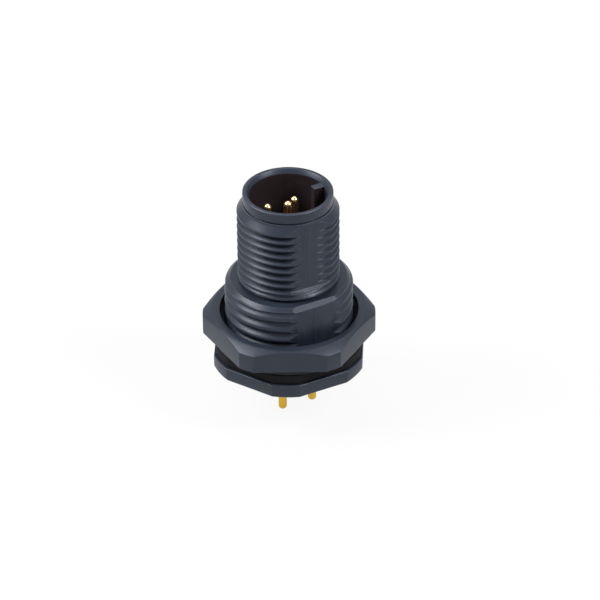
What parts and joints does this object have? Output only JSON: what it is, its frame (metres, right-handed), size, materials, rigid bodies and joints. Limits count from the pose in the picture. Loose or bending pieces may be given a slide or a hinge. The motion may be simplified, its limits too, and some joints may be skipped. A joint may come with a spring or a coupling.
{
  "type": "m12 panel connector",
  "caption": "Male M12 panel connector with coding key, coupling thread, panel thread, hexagon flange, gasket, lock nut and round solder tails.",
  "frame": {"origin": "centre of the flange's panel side, on the threads' axis", "axes": "+Z along the threads' axis towards the mating end, +X towards the coding key"},
  "size_m": [0.0192, 0.0204, 0.0291],
  "materials": {
    "housing_plastic": "dark slate moulded plastic, satin",
    "nut_plastic": "dark slate moulded plastic, satin",
    "insulator_plastic": "black moulded plastic",
    "washer_plastic": "near-black plastic sheet",
    "gasket_rubber": "matte black rubber",
    "seal_rubber": "matte black rubber",
    "resin": "black cast resin",
    "contact_gold": "gold plated, turned"
  },
  "bodies": {
    "connector": {"housing": "housing_plastic", "contact_insert": "insulator_plastic", "rear_insulator": "insulator_plastic", "insert_seal": "seal_rubber", "sealing_resin": "resin", "contact_1": "contact_gold", "contact_2": "contact_gold", "contact_3": "contact_gold", "contact_4": "contact_gold", "contact_5": "contact_gold", "panel_gasket": "gasket_rubber"},
    "washer": {"slip_washer": "washer_plastic"},
    "nut": {"lock_nut": "nut_plastic"}
  },
  "joints": [
    {"name": "nut_climb", "type": "slide", "parent": "connector", "child": "washer", "axis": [0, 0, 1], "range_m": [0, 0.00706]},
    {"name": "nut_turn", "type": "hinge", "parent": "washer", "child": "nut", "pos_m": [0, 0, 0.00195], "axis": [0, 0, 1], "range_deg": [0, 1800]}
  ],
  "couplings": [
    {"joint": "nut_climb", "follows": "nut_turn", "m_per_rad": 0.00022457}
  ]
}
